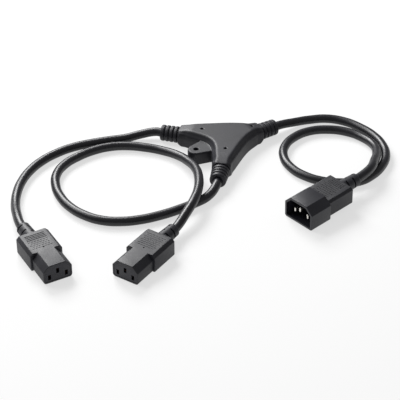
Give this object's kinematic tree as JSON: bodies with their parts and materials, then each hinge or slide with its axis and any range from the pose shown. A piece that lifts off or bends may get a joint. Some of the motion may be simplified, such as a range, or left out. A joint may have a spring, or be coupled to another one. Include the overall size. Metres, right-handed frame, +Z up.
{
  "type": "power cord splitter",
  "caption": "Black Y power cord splitter: a three-pin inlet plug feeds two outlet connectors through a moulded triangular junction with a screw ear.",
  "frame": {"origin": "middle of the junction moulding's base, on the surface that it lies on", "axes": "+X along the junction's inlet arm, +Y towards its left outlet arm, +Z up from the surface"},
  "size_m": [0.3425, 0.2099, 0.0216],
  "materials": {
    "black_pvc": "satin moulded PVC with a fine spark texture",
    "carrier_plastic": "matt hard plastic",
    "cord_jacket": "smooth extruded PVC with a soft gloss",
    "nickel": "bright nickel plate",
    "brass": "stamped brass",
    "brown_insulation": "extruded PVC",
    "blue_insulation": "extruded PVC",
    "green_yellow_insulation": "extruded PVC"
  },
  "bodies": {
    "root": {"junction_overmould": "black_pvc", "splice_line": "brass", "splice_earth": "brass", "splice_neutral": "brass", "input_core_line": "brown_insulation", "input_core_earth": "green_yellow_insulation", "input_core_neutral": "blue_insulation", "left_core_line": "brown_insulation", "left_core_earth": "green_yellow_insulation", "left_core_neutral": "blue_insulation", "front_core_line": "brown_insulation", "front_core_earth": "green_yellow_insulation", "front_core_neutral": "blue_insulation", "left_outlet_overmould": "black_pvc", "left_outlet_carrier": "carrier_plastic", "left_outlet_contact_line": "brass", "left_outlet_contact_earth": "brass", "left_outlet_contact_neutral": "brass", "left_outlet_core_line": "brown_insulation", "left_outlet_core_earth": "green_yellow_insulation", "left_outlet_core_neutral": "blue_insulation", "front_outlet_overmould": "black_pvc", "front_outlet_carrier": "carrier_plastic", "front_outlet_contact_line": "brass", "front_outlet_contact_earth": "brass", "front_outlet_contact_neutral": "brass", "front_outlet_core_line": "brown_insulation", "front_outlet_core_earth": "green_yellow_insulation", "front_outlet_core_neutral": "blue_insulation", "inlet_plug_shroud": "black_pvc", "inlet_plug_overmould": "black_pvc", "inlet_plug_blade_line": "nickel", "inlet_plug_blade_earth": "nickel", "inlet_plug_blade_neutral": "nickel", "inlet_plug_core_line": "brown_insulation", "inlet_plug_core_earth": "green_yellow_insulation", "inlet_plug_core_neutral": "blue_insulation", "left_cord": "cord_jacket", "front_cord": "cord_jacket", "inlet_cord": "cord_jacket"}
  },
  "joints": []
}
